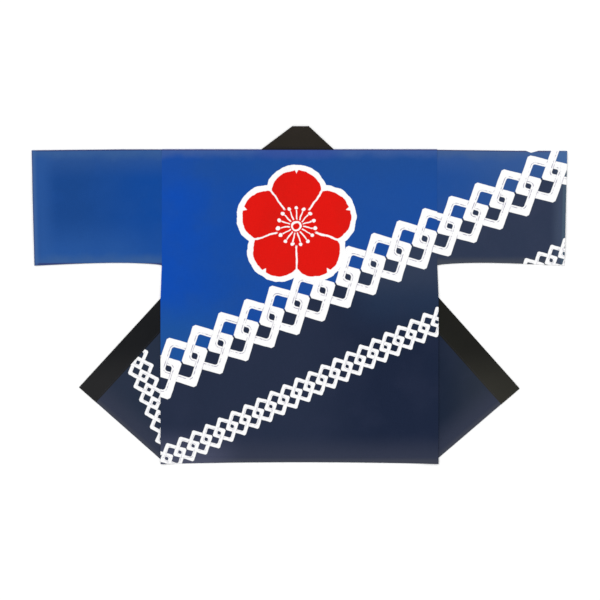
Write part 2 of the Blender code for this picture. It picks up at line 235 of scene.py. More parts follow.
class Layout:
    """How one side's front and collar lie: their lines, and the height of each layer."""

    def __init__(self, side):
        self.side = side
        self.band = BAND_WIDTH + BAND_WIDER[side.name]
        self.turn_hem = (side.turn_hem_out, hem(side.turn_hem_out) + FRONT_SHORTER)
        outside = (SHOULDER_OUT, 0)
        self.turn_line = Line(side.turn_top, self.turn_hem, outside)
        self.flap_hem = Line(side.tip, self.turn_hem, side.turn_top)
        self.free_edge = Line(side.turn_top, side.tip, outside)
        self.seam = [self.neckline(step) for step in range(NECKLINE_STEPS + 1)]
        self.shoulder = Turn(SHOULDER_LINE, lambda foot: back_height(self.mirrored(foot)), self.front_height)
        self.front = Turn(self.turn_line, self.front_height, self.flap_height)
        nape_base = (side.neck - NECK_CLEAR, SHOULDER_TURN + GAP)
        nape_line = Line(nape_base, (side.nape_top, NECK_TOP), (0, 0))
        self.nape = Turn(nape_line, lambda foot: FLOOR_BAND + BAND_LAYER, self.run_height)
        self.strip = Turn(self.turn_line, self.run_height, lambda foot: FLOOR_BAND)

    def mirrored(self, point):
        """From this side's own distances to the coat's plane, or back."""
        return Vector((point[0] * self.side.sign, point[1]))

    def along_turn(self, past):
        return self.turn_line.where(self.free_edge, past)

    def neckline(self, step, clear=0):
        t = step / NECKLINE_STEPS
        start = Vector((self.side.neck, SHOULDER_TURN))
        bow = Vector(self.side.neckline_bow)
        end = self.turn_line.point(self.along_turn(self.band))
        curve = start * (1 - t) ** 2 + bow * 2 * t * (1 - t) + end * t**2
        return curve - Vector((clear, 0))

    def past_seam(self, point):
        """How far out from the neckline's seam."""
        return point[0] - table([(-spot.y, spot.x) for spot in self.seam], -point[1])

    def front_height(self, point):
        return FLOOR_CLOTH + soft(OVER_BAND, self.free_edge.past(point)) + seam_lift(self.past_seam(point))

    def flap_height(self, point):
        return FLOOR_CLOTH + seam_lift(self.free_edge.past(point) - self.band)

    def run_height(self, point):
        return FLOOR_BAND + soft(OVER_BAND, self.free_edge.past(point))

    def back_rise(self, point):
        share = soft(((0, 1), (NECKLINE_SLOPE, 0)), self.past_seam(point))
        grown = table(((NECK_RISE_END, 1), (SHOULDER_TURN, 0)), point[1])
        over = soft(BACK_OVER_BAND, self.free_edge.past(point)) * grown
        lift = table(((-SEAM_SLOPE, 0), (SHOULDER_TURN, SEAM_LIFT)), point[1])
        rise = LAYER + over + (BAND - CLOTH + lift) * share
        kept = soft(BACK_FALL, self.turn_line.past(point))
        nape = (BAND_LAYER + SEAM_LIFT) * table(((-NECK_SLOPE, 0), (SHOULDER_TURN, 1)), point[1])
        return max(rise * kept, nape * share)


SHOULDER_LINE = Line((0, SHOULDER_TURN), (1, SHOULDER_TURN), (0, HEM_MIDDLE))
LAYOUTS = tuple(Layout(side) for side in SIDES)


def back_height(point):
    return FLOOR_CLOTH + max(layout.back_rise(layout.mirrored(point)) for layout in LAYOUTS)


def layout_of(point):
    return LAYOUTS[0] if point[0] < 0 else LAYOUTS[1]


# ---- creases: soft ridges (and troughs between them) that all layers of a place share
# (start x, y, end x, y, half width, height), in the coat's own plane

CREASES = (
    (-300, -262, -150, -150, 17, 1.7),
    (-318, -300, -205, -330, 13, 1),
    (-322, -250, -250, -90, 21, 1.2),
    (302, -255, 176, -118, 19, 1.8),
    (316, -310, 225, -352, 14, 0.9),
    (318, -236, 262, -70, 16, 1.4),
    (-72, -46, -128, -205, 22, 1),
    (66, -40, 96, -236, 18, 0.9),
    (-238, -420, -262, -742, 24, 1.5),
    (-118, -505, -96, -748, 17, 0.9),
    (24, -395, 52, -640, 26, 1.2),
    (172, -470, 196, -750, 20, 1.7),
    (286, -405, 274, -600, 15, 0.9),
    (-352, -262, -428, -96, 18, 1.5),
    (-395, -270, -470, -168, 13, 0.9),
    (-520, -60, -634, -92, 22, 1.4),
    (-560, -214, -642, -190, 15, 1),
    (350, -258, 436, -84, 20, 1.4),
    (408, -268, 476, -182, 14, 1),
    (505, -40, 632, -70, 18, 1),
    (548, -226, 636, -206, 16, 1.2),
    (-352, -470, -420, -640, 15, 0.9),
    (-395, -470, -470, -560, 12, 0.8),
    (352, -500, 404, -640, 16, 1),
    (400, -462, 468, -552, 13, 0.8),
)
SLOW_RISE = 0.32  # mean height of the unevenness between them


def ripple(points):
    """How far the cloth stands off the floor at each (x, y), by its creases and a slow unevenness."""
    points = np.asarray(points, float)
    lift = np.zeros(len(points))
    for *ends, width, height in CREASES:
        start = np.array(ends[:2], float)
        run = ends[2:] - start
        length = np.hypot(*run)
        run /= length
        along = (points - start) @ run
        bend = width * 0.5 * np.sin(along / length * pi * 1.3 + height * 5)
        across = (points - start) @ np.array((-run[1], run[0])) - bend
        fade = np.clip(along / (0.35 * length), 0, 1) * np.clip((length - along) / (0.3 * length), 0, 1)
        fade = fade * fade * (3 - 2 * fade)
        lift += height * fade * np.exp(-((across / width) ** 2)) * (1 + 0.25 * np.sin(along / 31))
    slow = [SLOW_RISE * (1 + noise.noise(Vector((x / 95, y / 120, 4.2)))) for x, y in points]
    return lift + np.array(slow)


# ---- meshes


def within(outline, points):
    """Which of the points lie inside the outline."""
    inside = np.zeros(len(points), bool)
    x, y = points[:, 0], points[:, 1]
    for a, b in zip(outline, outline[1:] + outline[:1]):
        if a[1] == b[1]:
            continue
        spans = (a[1] > y) != (b[1] > y)
        inside ^= spans & (x < a[0] + (b[0] - a[0]) * (y - a[1]) / (b[1] - a[1]))
    return inside


def resampled(path):
    """The path with no stretch longer than the grid's spacing."""
    made = [path[0]]
    for a, b in zip(path, path[1:]):
        parts = max(1, ceil((b - a).length / GRID))
        made += [a.lerp(b, part / parts) for part in range(1, parts + 1)]
    return made


def cut_out(outline, creases):
    """The flat piece as fine triangles, with an edge along every crease."""
    paths = [resampled(path) for path in ([*outline, outline[0]], *creases)]
    points, edges = [], []
    for path in paths:
        first = len(points)
        points += path
        edges += [(first + i, first + i + 1) for i in range(len(path) - 1)]
    low, high = np.min(paths[0], axis=0), np.max(paths[0], axis=0)
    columns, rows = np.ceil((high - low) / (GRID, GRID_UP)).astype(int)
    grid = []
    for row in range(rows + 1):
        grid += [(low[0] + GRID * (i + 0.5 * (row % 2)), low[1] + GRID_UP * row) for i in range(columns + 1)]
    grid = np.array(grid)
    grid = grid[within(outline, grid)]
    near = np.zeros(len(grid), bool)
    for path in paths:
        corners = np.array(path)
        for a, b in zip(corners, corners[1:]):
            box = (grid > np.minimum(a, b) - CLEAR).all(1) & (grid < np.maximum(a, b) + CLEAR).all(1)
            found = np.flatnonzero(box)
            run = b - a
            share = np.clip((grid[found] - a) @ run / max(run @ run, 1e-9), 0, 1)
            apart = np.hypot(*(grid[found] - a - share[:, None] * run).T)
            near[found[apart < CLEAR]] = True
    points += [Vector(p) for p in grid[~near]]
    verts, _, faces, *_ = delaunay_2d_cdt(points, edges, [], 0, 0.01)
    flat = np.array(verts)
    middles = np.array([flat[list(face)].mean(0) for face in faces])
    faces = [face for face, keep in zip(faces, within(outline, middles)) if keep]
    used = sorted({i for face in faces for i in face})
    number = {old: new for new, old in enumerate(used)}
    return [verts[i] for i in used], [[number[i] for i in face] for face in faces]


def add_object(name, mesh):
    made = bpy.data.objects.new(name, mesh)
    bpy.context.scene.collection.objects.link(made)
    return made


def add_mesh(name, verts, faces, slots, materials):
    """A piece in the part's frame, from millimetres over a level floor. The creases lift it."""
    mesh = bpy.data.meshes.new(name)
    points = np.array(verts, float)
    points[:, 2] += ripple(points[:, :2])
    points[:, :2] += SHIFT
    mesh.from_pydata((points / 1000).tolist(), [], faces)
    for material in materials:
        mesh.materials.append(material)
    mesh.polygons.foreach_set("material_index", slots)
    mesh.shade_smooth()
    mesh.set_sharp_from_angle(angle=radians(60))
    mesh.update()
    return add_object(name, mesh)


def laid(point, turns):
    """Where a point of a cut lies, and where its right side faces, once its layout's turns are folded."""
    layout = layout_of(point)
    own, sign, facing = layout.mirrored(point), layout.side.sign, 1
    for turn in (getattr(layout, name) for name in turns):
        part = turn.side_of(own)
        if part == 1:
            place, height, out, up = turn.rolled(own)
            return Vector((place.x * sign, place.y, height)), Vector((out.x * sign, out.y, up)) * facing
        if part == 0:
            return Vector((own.x * sign, own.y, turn.near_height(own))), Vector((0, 0, facing))
        own = turn.after(own)
        facing = -facing
    return Vector((own.x * sign, own.y, turn.far_height(own))), Vector((0, 0, facing))


def add_cloth(name, outline, creases, turns, thickness, slot_of, materials, rise=None):
    """A cut piece, placed as the middle of its wall, with half its thickness to each side and a round edge.
    slot_of(cut point) is the material of the right side there, and the wrong side has the next one."""
    flat, triangles = cut_out(outline, creases)
    count = len(flat)
    half = (thickness - THINNER) / 2
    middles, ups = (np.array(part) for part in zip(*(laid(point, turns) for point in flat)))
    middles[:, 2] -= THINNER / 2
    ups /= np.linalg.norm(ups, axis=1)[:, None]
    top = middles + ups * half
    if rise:
        top += ups * np.array(list(map(rise, flat)))[:, None]
    faces = [list(face) for face in triangles] + [[count + i for i in reversed(face)] for face in triangles]
    slots = [slot_of(sum((flat[i] for i in face), Vector((0, 0))) / 3) for face in triangles]
    slots += [slot + 1 for slot in slots]
    directed = {(face[i], face[(i + 1) % 3]): n for n, face in enumerate(triangles) for i in range(3)}
    after = {a: (b, n) for (a, b), n in directed.items() if (b, a) not in directed}
    before = {b: a for a, (b, _) in after.items()}
    first_row, rim = {}, []
    for a in sorted(after):
        first_row[a] = 2 * count + len(rim)
        out = np.cross(middles[after[a][0]] - middles[before[a]], ups[a])
        out /= max(np.linalg.norm(out), 1e-9)
        for degrees in RIM:
            angle = radians(degrees)
            size = np.linalg.norm(top[a] - middles[a]) if degrees > 0 else half
            wide, tall = half * RIM_WIDE * cos(angle), size * RIM_TALL * sin(angle)
            rim.append(middles[a] + out * wide + ups[a] * tall)
    for a, (b, n) in sorted(after.items()):
        left, right = ([i, *range(first_row[i], first_row[i] + len(RIM)), count + i] for i in (a, b))
        for row in range(len(RIM) + 1):
            faces.append([right[row], left[row], left[row + 1], right[row + 1]])
            slots.append(slots[n])
    return add_mesh(name, np.concatenate([top, middles - ups * half, rim]), faces, slots, materials)


# ---- body

BACK, FRONT, FLAP_LEFT, FLAP_RIGHT = 0, 2, 4, 6  # material slots of the right sides


def body_slot(point):
    layout = layout_of(point)
    own = layout.mirrored(point)
    if layout.shoulder.line.past(own) < TURN / 2:
        return BACK
    if layout.front.line.past(layout.shoulder.after(own)) < TURN / 2:
        return FRONT
    return FLAP_LEFT if layout.side.sign < 0 else FLAP_RIGHT


def body_rise(point):
    """The turned-in hems stand proud of the cloth beside them."""
    layout = layout_of(point)
    shoulder, front = layout.shoulder, layout.front
    own = layout.mirrored(point)
    part = shoulder.side_of(own)
    if part == 0:
        rise, up = HEM_RISE, point[1] - hem(point[0])
    elif part == 2 and front.side_of(shoulder.after(own)) == 2:
        rise, up = FLAP_RISE, -layout.flap_hem.past(front.after(shoulder.after(own)))
    else:
        return 0
    return rise * table(((HEM_SLOPE[0], 1), (HEM_SLOPE[1], 0)), up)


def body_side(layout):
    """One half of the body's outline, from the back's hem up, over the shoulder and down the front."""
    side, shoulder, front = layout.side, layout.shoulder, layout.front
    flap_seam = layout.turn_line.point(layout.along_turn(layout.band + GAP / 2))
    seam_at_hem = layout.flap_hem.where(layout.free_edge, layout.band + GAP / 2)
    edge = [(HIP[0], hem(HIP[0])), HIP, UNDERARM, (SHOULDER_OUT, SHOULDER_TURN)]
    upper = [*reversed(edge[1:]), (HIP[0], hem(HIP[0]) + FRONT_SHORTER), layout.turn_hem]
    flap = [layout.turn_hem, layout.flap_hem.point(seam_at_hem), flap_seam]
    neckline = [layout.neckline(step, -GAP / 2) for step in range(NECKLINE_STEPS - 1, 0, -1)]
    neck = (side.neck, SHOULDER_TURN)
    unfolded = upper + [front.after(p) for p in flap] + [flap_seam] + neckline + [neck]
    return edge + [shoulder.after(p) for p in unfolded] + [neck]


def body_creases(layout):
    """The lines of one half's cut where its height or its direction changes."""
    shoulder, front, turn, free = layout.shoulder, layout.front, layout.turn_line, layout.free_edge
    hem_line = layout.flap_hem

    def across(begin):
        """Along the free edge, from here to past the coat's side."""
        return [begin, begin + free.along * (HIP[0] + 2 - begin.x) / free.along.x]

    def below_shoulder(path):
        a, b = path
        if a.y > SHOULDER_TURN:
            a = a + (b - a) * (SHOULDER_TURN - a.y) / (b.y - a.y)
        return [a, b]

    def from_turn(past):
        return across(turn.point(layout.along_turn(past)))

    past_rows = [row[0] for row in OVER_BAND]
    on_front = [across(free.point(0, past)) for past in past_rows[:2]]
    on_front += [from_turn(past) for past in (layout.band, past_rows[3])]
    on_front.append([point + Vector((SEAM_SLOPE, 0)) for point in layout.seam])
    on_front += front.creases(layout.along_turn(layout.band + GAP / 2), turn.length)
    for up in HEM_SLOPE:
        row = [hem_line.point(-5, -up), hem_line.point(hem_line.length, -up)]
        on_front.append(list(map(front.after, row)))
    on_back = [below_shoulder(across(free.point(CREASE_START, past))) for past, _ in BACK_OVER_BAND[:4]]
    on_back += [from_turn(past) for past in past_rows[2:]]
    on_back.append([turn.point(turn.where(SHOULDER_LINE, 0)), turn.end])
    on_back.append(layout.seam)
    over_shoulder = shoulder.creases(layout.side.neck, SHOULDER_OUT)
    creases = [list(map(shoulder.after, path)) for path in on_front] + on_back + over_shoulder
    return [list(map(layout.mirrored, path)) for path in creases]


def add_body(materials):
    left, right = LAYOUTS
    outline = list(map(right.mirrored, body_side(right)))
    outline += list(map(left.mirrored, reversed(body_side(left))))
    outline += [Vector((out, hem(out))) for out in np.linspace(-HIP[0], HIP[0], 25)[1:-1]]
    creases = body_creases(left) + body_creases(right)
    outs = np.linspace(-HIP[0] + 0.5, HIP[0] - 0.5, 40)
    for up in HEM_SLOPE:
        creases.append([Vector((out, hem(out) + up)) for out in outs])
    turns = ("shoulder", "front")
    return add_cloth("coat_body", outline, creases, turns, CLOTH, body_slot, materials, body_rise)


# ---- collar

RUN_REACH = 112  # how far along the free edge the hidden part of the strip has it


def add_collar(materials):
    outline, creases = [], []
    for layout in reversed(LAYOUTS):
        nape, strip, free, side = layout.nape, layout.strip, layout.free_edge, layout.side
        past = layout.band - GAP / 2
        seam_turn = layout.turn_line.point(layout.along_turn(past))
        hem_end = layout.flap_hem.point(layout.flap_hem.where(free, past))
        neckline = [layout.neckline(step, GAP / 2) for step in range(1, NECKLINE_STEPS)]
        turned = [strip.after(point) for point in (seam_turn, hem_end, side.tip, side.turn_top)]
        under = [nape.line.start, *neckline, seam_turn, *turned, side.turn_top, nape.line.end]
        half = [nape.line.start] + list(map(nape.after, under)) + [nape.line.end]
        half = list(map(layout.mirrored, half))
        outline += half if side.sign > 0 else half[::-1]
        before = OVER_BAND[0][0]
        on_run = [[free.start, free.point(RUN_REACH)]]
        on_run.append([free.point(along, before) for along in (CREASE_START, RUN_REACH)])
        on_run += strip.creases(0, layout.along_turn(past))
        own = [list(map(nape.after, path)) for path in on_run] + nape.creases(0, nape.line.length)
        creases += [list(map(layout.mirrored, path)) for path in own]
    return add_cloth("coat_collar", outline, creases, ("nape", "strip"), BAND, lambda point: 0, materials)


# ---- sleeves


def cuff_out(side, y):
    return between(side.cuff, held(y / UNDERARM[1]))


def mouth(side, share, y, top, bottom):
    """How far the cuff's upper layer stands open: most at its end, and not at its two edges."""
    inner = held(min(top - y, y - bottom) / 30)
    return MOUTH * inner * share**6 * (1 + 0.6 * sin(y / 37 + side.sign))


def add_sleeve(side, materials):
    """A flattened tube, open at the armhole and at the cuff."""
    radius = (LAYER + CLOTH - THINNER) / 2
    length = side.cuff[0] - SHOULDER_OUT
    spots = list(np.linspace(0, length - 26, int(length / GRID)))
    spots += [length - back for back in (22, HEM_SLOPE[1], HEM_SLOPE[0], 11, 5, 0)]
    turned = [radians(-90 + 180 * step / TURN_STEPS) for step in range(TURN_STEPS + 1)]
    verts = []
    for inset in (0, CLOTH - THINNER):
        for spot in spots:
            share = spot / length
            top = between(side.sleeve_top, share) + table(SLEEVE_TOP_BOW[side.name], share)
            arch = BOTTOM_ARCH * sin(pi * share**ARCH_SKEW)
            bottom = between((UNDERARM[1], CUFF_LOW), share) + arch - SLEEVE_SAG
            size = radius - inset
            levels = np.linspace(top - radius, bottom + radius, SLEEVE_ROWS + 1)[1:-1]
            ring = [(top - radius + size * cos(a), size * sin(a)) for a in turned]
            ring += [(y, size) for y in levels]
            ring += [(bottom + radius - size * cos(a), -size * sin(a)) for a in turned]
            ring += [(y, -size) for y in levels[::-1]]
            band = CUFF_RISE if inset == 0 and spot > length - HEM_BAND else 0
            sunk = SUNK * exp(-((spot / SUNK_REACH) ** 2))
            for y, z in ring:
                x = between((ARMHOLE, cuff_out(side, y)), share)
                lift = (mouth(side, share, y, top, bottom) + band - sunk) * held(z / size)
                verts.append((x * side.sign, y, radius + z + lift))
    around = len(ring)
    stations = len(spots)
    loop = list(range(stations)) + [stations + i for i in reversed(range(stations))]
    faces, slots = [], []
    for first, second in zip(loop, loop[1:] + loop[:1]):
        inner = first >= stations and second >= stations
        for i in range(around):
            j = (i + 1) % around
            corners = [first * around + i, second * around + i, second * around + j, first * around + j]
            faces.append(corners if side.sign < 0 else corners[::-1])
            slots.append(int(inner))
    return add_mesh(f"coat_sleeve_{side.name}", verts, faces, slots, materials)


# ---- stitching


def add_stitches(name, runs, material):
    """Short threads lying on the cloth along each run of (x, y, z), half sunk into it."""
    verts, faces = [], []
    sides, rows = THREAD_SIDES, len(STITCH_ROWS)
    for run in map(np.array, runs):
        lengths = np.cumsum([0, *np.linalg.norm(run[1:] - run[:-1], axis=1)])
        starts = np.arange(int(lengths[-1] / STITCH_PITCH)) * STITCH_PITCH + 0.5
        ends = [[np.interp(at, lengths, part) for part in run.T] for at in (starts, starts + STITCH_LENGTH)]
        for a, b in zip(*(np.transpose(end) for end in ends)):
            a, b = Vector(a), Vector(b)
            across = (b - a).normalized().cross(Vector((0, 0, 1))).normalized()
            first = len(verts)
            for share, size, drop in STITCH_ROWS:
                middle = a.lerp(b, share) - Vector((0, 0, drop))
                for step in range(sides):
                    angle = 2 * pi * step / sides + 0.3
                    offset = across * cos(angle) + Vector((0, 0, 1)) * sin(angle) * 0.8
                    verts.append(middle + offset * THREAD_RADIUS * size)
            for row in range(rows - 1):
                for step in range(sides):
                    i, j = first + row * sides + step, first + row * sides + (step + 1) % sides
                    faces.append([i, j, j + sides, i + sides])
            faces.append([first + i for i in reversed(range(sides))])
            faces.append([first + (rows - 1) * sides + i for i in range(sides)])
    return add_mesh(name, verts, faces, [0] * len(faces), [material])


def face_above(thickness):
    """From the middle of a solid's wall to the upper face of its finer shell."""
    return thickness / 2 - THINNER


def hem_runs():
    """Stitch lines of the hems, on the side that faces up."""
    up = face_above(CLOTH) + 0.1
    at = HEM_BAND - STITCH_IN
    outs = np.linspace(-HIP[0] + 2, HIP[0] - 2, 200)
    runs = [[(x, hem(x) + at, back_height((x, hem(x) + at)) + up + HEM_RISE) for x in outs]]
    for layout in LAYOUTS:
        line = layout.flap_hem
        start = line.where(layout.free_edge, layout.band + 3)
        end = line.where(Line((HIP[0], 0), (HIP[0], -1), (0, 0)), 2)
        row = [line.point(along, -at) for along in np.linspace(start, end, 61)]
        runs.append([(*layout.mirrored(p), layout.flap_height(p) + up + FLAP_RISE) for p in row])
    return runs


def cuff_runs():
    """Stitch lines of the cuffs' bands, on their upper layers."""
    runs = []
    for side in SIDES:
        top = side.sleeve_top[1]
        run = []
        for y in np.linspace(top - 4, CUFF_LOW + 4, 80):
            x = cuff_out(side, y) - HEM_BAND + STITCH_IN
            share = (x - SHOULDER_OUT) / (cuff_out(side, y) - SHOULDER_OUT)
            height = LAYER + CLOTH - THINNER + CUFF_RISE + mouth(side, share, y, top, CUFF_LOW)
            run.append((x * side.sign, y, height - 0.05))
        runs.append(run)
    return runs


def collar_runs():
    """One line beside the seam of each turned strip, and one along the nape's base."""
    up = face_above(BAND)
    runs = []
    for layout in LAYOUTS:
        past = layout.band - 3.2
        begin = layout.turn_line.point(layout.along_turn(past))
        finish = layout.flap_hem.point(layout.flap_hem.where(layout.free_edge, past))
        row = [begin.lerp(finish, share) for share in np.linspace(0.02, 0.985, 121)]
        runs.append([(*layout.mirrored(p), FLOOR_BAND + up) for p in row if p.x > HIP[0] + 1.5])
    left, right = SIDES
    height = FLOOR_BAND + BAND_LAYER + up
    runs.append([(x, 3.4, height) for x in np.linspace(8 - left.neck, right.neck - 8, 60)])
    return runs


# ---- materials. A colour is what shows on the screen, 0 to 255 each

LIGHT = 1.12  # what the lights make of a base colour
WHITE = (255, 255, 255)


def base_colour(screen):
    """The linear base colour that shows this screen colour under the scene's light."""
    parts = [part / 255 for part in screen]
    linear = [part / 12.92 if part <= 0.04045 else ((part + 0.055) / 1.055) ** 2.4 for part in parts]
    return (*(part / LIGHT for part in linear), 1)


def feed(node, inputs):
    """Gives each of a node's inputs its number or colour, or a link from a socket or Value."""
    for name, value in inputs.items():
        value = value.socket if isinstance(value, Value) else value
        if isinstance(value, bpy.types.NodeSocket):
            node.id_data.links.new(value, node.inputs[name])
        else:
            node.inputs[name].default_value = value


def add_node(tree, kind, inputs, **settings):
    node = tree.nodes.new("ShaderNode" + kind)
    for name, setting in settings.items():
        setattr(node, name, setting)
    feed(node, inputs)
    return node


class Value:
    """A number in a node tree, so that node sums read as sums."""

    def __init__(self, socket):
        self.socket = socket

    def make(self, operation, *others):
        inputs = dict(enumerate((self, *others)))
        return Value(add_node(self.socket.id_data, "Math", inputs, operation=operation).outputs[0])

    __add__ = partialmethod(make, "ADD")
    __sub__ = partialmethod(make, "SUBTRACT")
    __mul__ = partialmethod(make, "MULTIPLY")
    __truediv__ = partialmethod(make, "DIVIDE")
    __abs__ = partialmethod(make, "ABSOLUTE")
    __neg__ = partialmethod(make, "MULTIPLY", -1)
    least = partialmethod(make, "MINIMUM")
    most = partialmethod(make, "MAXIMUM")

    def __rsub__(self, number):
        return -self + number

    def step(self, low, high):
        """0 at low and 1 at high, smooth between."""
        ends = (low, high, 0, 1) if low < high else (high, low, 1, 0)
        inputs = dict(zip(("Value", "From Min", "From Max", "To Min", "To Max"), (self, *ends)))
        node = add_node(self.socket.id_data, "MapRange", inputs, interpolation_type="SMOOTHSTEP")
        return Value(node.outputs["Result"])


def far(across, down):
    return (across * across + down * down).make("SQRT")


class Chain(NamedTuple):
    """A run of interlaced links, each a square ring that stands on its corner."""

    pitch: float
    rises: float  # degrees between the run and the sides that rise along it
    falls: float  # and those that fall
    half_rising: float  # from a link's middle to its rising sides
    half_falling: float
    band: float  # width of the white
    end_cut: float  # how much its outer corners lose, at its ends along the run
    top_cut: float  # and at its top and bottom
    corner: float  # radius of the hole's corners
    inset: float  # of the thin line, from the hole's edge
    pen: float  # half width of that line


class Run(NamedTuple):
    """Where a chain runs, and how far the cloth's lie shifts it one reach away from its centre."""

    centre: tuple
    degrees: float
    reach: float = 300
    stretch: float = 0  # along the run, by the square of the distance
    bow: float = 0  # across it, by the square
    sway: float = 0  # and by the cube


BIG = Chain(68.75, 45.7, 43.3, 50.15, 48.9, 18.3, 5.6, 5.1, 6.6, 4.2, 1.35)
BIG_SLEEVE = Chain(71.2, 42.65, 41.8, 49.25, 47.85, 18.1, 4.6, 4.8, 5.3, 4.2, 1.35)
SMALL = Chain(34.53, 45.25, 43.6, 24.9, 24.3, 8.4, 2.5, 2.7, 3.9, 2.4, 0.7)
SMALL_FLAP = Chain(35, 40.7, 44.3, 24.2, 25, 8.3, 1.6, 2.7, 3, 2.4, 0.7)
BIG_RUN = Run((25.2, -354.05), 27.62, 330, -1.45, -0.5, -3.85)
BIG_SLEEVE_RUN = Run((517.3, -104.35), 27.16, 170, 1.9, 2.65, 2.05)
SMALL_RUN = Run((7.65, -576.8), 27.6, 360, -2.5, 0.3, -4.95)
SMALL_SLEEVE_RUN = Run((588.3, -274.2), 27.4)
SMALL_FLAP_RUN = Run((-367.7, -560.1), -68.2)
LINK_TIP = (555.3, -8.8)  # of one more link, at the right sleeve's upper edge
BLOSSOM_AT = (-7.2, -184)
BLOSSOM_REACH = 134
WEAVE_PITCH = 0.62


class Painter:
    """Builds one material's nodes."""

    def __init__(self, name):
        self.material = bpy.data.materials.new(name)
        self.material.use_nodes = True
        self.tree = self.material.node_tree
        self.shader = self.tree.nodes["Principled BSDF"]
        place = add_node(self.tree, "TexCoord", {})
        apart = add_node(self.tree, "SeparateXYZ", {0: place.outputs["Object"]})
        self.x, self.y = (Value(apart.outputs[i]) * 1000 - SHIFT[i] for i in (0, 1))

    def noise(self, size, detail, seed, squash=(1, 1)):
        """Noise from 0 to 1 with blots of this size in millimetres."""
        x, y = (value * (1 / (size * part)) for value, part in zip((self.x, self.y), squash))
        join = add_node(self.tree, "CombineXYZ", {0: x, 1: y, 2: seed})
        inputs = {"Vector": join.outputs[0], "Detail": detail, "Scale": 1}
        return Value(add_node(self.tree, "TexNoise", inputs).outputs["Fac"])

    def wander(self, size, detail, seed, span, squash=(1, 1)):
        """An uneven shift, by up to half the span each way."""
        return (self.noise(size, detail, seed, squash) - 0.5) * span

    def mix(self, share, first, second):
        """first at 0 and second at 1. Each is a screen colour or a socket."""
        first, second = (base_colour(c) if isinstance(c, tuple) else c for c in (first, second))
        return add_node(self.tree, "Mix", {0: share, 6: first, 7: second}, data_type="RGBA").outputs[2]

    def over(self, colour, *coats):
        """The colour under coats, each of (how much of it shows, its colour)."""
        for share, coat in coats:
            colour = self.mix(share, colour, coat)
        return colour

    def clouded(self, colour, second, strength):
        return self.mix(self.noise(85, 3, 41).step(0.42, 0.72) * strength, colour, second)

    def chain(self, kind, run):
        """(cover, line, above) of a run of interlaced square links: how white, how much of the thin inner
        line, and whether a place lies on the run's upper side. The small squares between links are below."""
        turn = radians(run.degrees)
        x = self.x - run.centre[0] + self.wander(kind.pitch * 0.45, 2, 7, 2.4)
        y = self.y - run.centre[1] + self.wander(kind.pitch * 0.45, 2, 19, 2.4)
        s = x * cos(turn) + y * sin(turn)
        t = y * cos(turn) - x * sin(turn)
        far_out = s / run.reach
        square = far_out * far_out
        s = s - square * run.stretch
        t = t - (far_out * run.sway + run.bow) * square
        share = (s / kind.pitch).make("FRACT")
        falls, rises = radians(kind.falls), radians(kind.rises)
        inner_edge, ring = [], []
        for away in (share * kind.pitch, share * kind.pitch - kind.pitch):
            rising = away * sin(falls) + t * cos(falls)
            falling = away * sin(rises) - t * cos(rises)
            p, q = abs(rising) - kind.half_falling, abs(falling) - kind.half_rising
            cut = (rising * falling).step(-1, 1) * (kind.end_cut - kind.top_cut) + kind.top_cut
            outer = p.most(q).most((p + q + cut) * sqrt(0.5))
            across, down = p + (kind.band + kind.corner), q + (kind.band + kind.corner)
            inner = far(across.most(0), down.most(0)) + across.most(down).least(0) - kind.corner
            inner_edge.append(inner)
            ring.append(outer.most(-inner))
        cover = ring[0].least(ring[1]).step(0.7, -0.7)
        upper = t.step(-0.5, 0.5)
        lower = 1 - upper
        on = [edge.step(0.3, -0.3) for edge in ring]
        # The next link lies over this one above the middle line, and under it below.
        seen = [1 - on[1] * upper, 1 - on[0] * lower]
        pen = (kind.pen, kind.pen * 0.4)
        lines = [abs(inner_edge[k] - kind.inset).step(*pen) * on[k] * seen[k] for k in (0, 1)]
        crossing = (abs(ring[1]).step(*pen) * on[0] * upper).most(abs(ring[0]).step(*pen) * on[1] * lower)
        broken = self.noise(9, 1, 31).step(0.36, 0.62)
        small_squares = abs(share - 0.5).step(0.3, 0.26) * (kind.band * 0.42)
        above = (t - small_squares - kind.band * 0.1).step(-1.2, 1.2)
        return cover, lines[0].most(lines[1]).most(crossing * 0.7) * broken, above

    def printed(self, ground, cover, line):
        """White print over a ground colour, with the fine violet-grey line in it."""
        return self.mix(cover, ground, self.mix(line * 0.8, WHITE, (132, 124, 154)))

    def with_chain(self, ground, kind, run, where=1):
        cover, line, _ = self.chain(kind, run)
        return self.printed(ground, cover * where, line)

    def inside(self, line, sign):
        """How far a place lies inside a line of the right side, or of the left with sign -1."""
        out = self.x * sign - line.start.x
        return out * -line.across.x + (self.y - line.start.y) * -line.across.y

    def blossom(self, centre, reach):
        """(white ground, red petals) of a five-petalled flower with a white edge and stamens."""
        x = self.x - centre[0] + self.wander(26, 3, 3, 9)
        y = self.y - centre[1] + self.wander(21, 3, 13, 9)
        radius = far(x, y)
        angle = y.make("ARCTAN2", x) - pi / 2
        fifth = 2 * pi / 5
        folded = abs((angle / fifth + 0.5).make("FRACT") - 0.5) * fifth
        along, across = radius * folded.make("COSINE"), radius * folded.make("SINE")
        petal = far(along - reach * 0.585, across * 0.93) - reach * 0.415
        notch = (reach * 0.93 - along) * 0.52 + across
        heart = radius - reach * 0.33
        shape = petal.most(-notch * 0.8).least(heart)
        to_gap = radius * (fifth / 2 - folded).make("SINE")
        gap = (to_gap - 0.2).step(2.6, 1.4) * radius.step(reach * 0.34, reach * 0.38)
        third = abs((angle / (fifth / 3) + 0.5).make("FRACT") - 0.5) * (fifth / 3)
        off = radius * third.make("SINE")
        stamen = off.step(1.9, 1) * radius.step(15, 17) * radius.step(reach * 0.30, reach * 0.28)
        bead = far(heart, off).step(5, 3.8)
        eye = abs(radius - 10).step(2.8, 1.8)
        strokes = gap.most(stamen).most(bead).most(eye)
        return shape.step(13.6, 12.4), shape.step(0.6, -0.6) * (1 - strokes)

